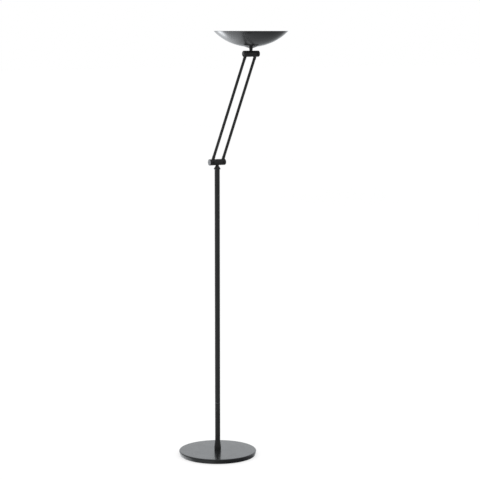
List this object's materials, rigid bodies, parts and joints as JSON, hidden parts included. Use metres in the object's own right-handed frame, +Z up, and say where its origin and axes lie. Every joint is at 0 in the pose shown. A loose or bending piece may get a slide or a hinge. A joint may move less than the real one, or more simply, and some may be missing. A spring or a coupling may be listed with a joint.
{
  "type": "torchiere floor lamp",
  "caption": "Free-standing uplighter: a weighted round base and slim pole carry a swivelling, folding parallelogram arm that keeps a shallow upward-facing dish level.",
  "frame": {"origin": "on the floor, at the centre of the base's underside, on the pole's axis", "axes": "+Z up along the pole; +X is the way the arm leans at rest; +Y is towards the back, where the supply lead enters the base"},
  "size_m": [0.482, 0.3315, 1.8],
  "materials": {
    "pole_paint": "semi-gloss black stoved paint",
    "dish_paint": "gloss black paint outside, white paint inside",
    "cast_iron": "as cast",
    "zinc_steel": "zinc plated",
    "black_steel": "black oxide",
    "satin_aluminium": "satin",
    "bright_aluminium": "bright rolled",
    "brass": "machined",
    "bearing_plastic": "natural acetal",
    "pad_rubber": "matt black",
    "terminal_plastic": "moulded",
    "black_sheath": "smooth sheath",
    "white_wire": "silicone sleeve",
    "white_ceramic": "unglazed steatite",
    "quartz": "clear fused quartz",
    "tungsten": "drawn wire coil",
    "clear_glass": "clear toughened glass"
  },
  "bodies": {
    "base": {"base_cover": "pole_paint", "base_weight": "cast_iron", "base_plate": "zinc_steel", "base_pad": "pad_rubber", "base_plate_screws": "zinc_steel", "cord_grommet": "pad_rubber", "base_terminal": "terminal_plastic", "foot_collar": "pole_paint", "base_stud": "zinc_steel", "pole_insert": "zinc_steel", "pole_lower": "pole_paint", "pole_coupler": "zinc_steel", "pole_upper": "pole_paint", "top_ferrule": "pole_paint", "swivel_bush": "bearing_plastic", "pole_lead": "black_sheath"},
    "turning_block": {"swivel_spindle": "black_steel", "stop_collar": "zinc_steel", "wave_washer": "zinc_steel", "spindle_nut": "zinc_steel", "lower_block": "pole_paint", "lower_pivot_screws": "black_steel", "lower_pivot_nuts": "black_steel", "lower_friction_washers": "bearing_plastic", "lock_pad": "brass"},
    "lock": {"lock_knob": "pole_paint", "lock_knob_disc": "satin_aluminium", "lock_stud": "zinc_steel"},
    "left_arm": {"left_arm_tube": "pole_paint", "left_arm_lower_end": "pole_paint", "left_arm_upper_end": "pole_paint", "left_arm_bushes": "bearing_plastic", "arm_lead": "black_sheath"},
    "right_arm": {"right_arm_tube": "pole_paint", "right_arm_lower_end": "pole_paint", "right_arm_upper_end": "pole_paint", "right_arm_bushes": "bearing_plastic"},
    "head": {"upper_block": "pole_paint", "upper_pivot_screws": "black_steel", "upper_pivot_nuts": "black_steel", "upper_friction_washers": "bearing_plastic", "head_stem": "pole_paint", "head_stud": "zinc_steel", "dish_seat": "pole_paint", "dish": "dish_paint", "reflector_bridge": "zinc_steel", "stud_nut": "zinc_steel", "lamp_trough": "bright_aluminium", "trough_screws": "zinc_steel", "lamp_sockets": "white_ceramic", "socket_contacts": "brass", "bulb_glass": "quartz", "bulb_caps": "white_ceramic", "bulb_filament": "tungsten", "cover_glass": "clear_glass", "glass_clips": "zinc_steel", "head_terminal": "terminal_plastic", "head_lead": "black_sheath", "socket_wires": "white_wire"}
  },
  "joints": [
    {"name": "arm_swivel", "type": "hinge", "parent": "base", "child": "turning_block", "pos_m": [0, 0, 1.2405], "axis": [0, 0, 1], "range_deg": [-158, 158]},
    {"name": "lock_turn", "type": "hinge", "parent": "turning_block", "child": "lock", "pos_m": [-0.0345, 0, 1.2555], "axis": [1, 0, 0], "range_deg": [-180, 0]},
    {"name": "arm_lean", "type": "hinge", "parent": "turning_block", "child": "left_arm", "pos_m": [-0.0235, 0, 1.2555], "axis": [0, 1, 0], "range_deg": [-19.6, 30.4]},
    {"name": "right_arm_lean", "type": "hinge", "parent": "turning_block", "child": "right_arm", "pos_m": [0.0235, 0, 1.2555], "axis": [0, 1, 0], "range_deg": [-19.6, 30.4]},
    {"name": "head_level", "type": "hinge", "parent": "left_arm", "child": "head", "pos_m": [0.13651, 0, 1.70486], "axis": [0, 1, 0], "range_deg": [-30.4, 19.6]}
  ],
  "couplings": [
    {"joint": "right_arm_lean", "follows": "arm_lean", "ratio": 1},
    {"joint": "head_level", "follows": "arm_lean", "ratio": -1}
  ]
}
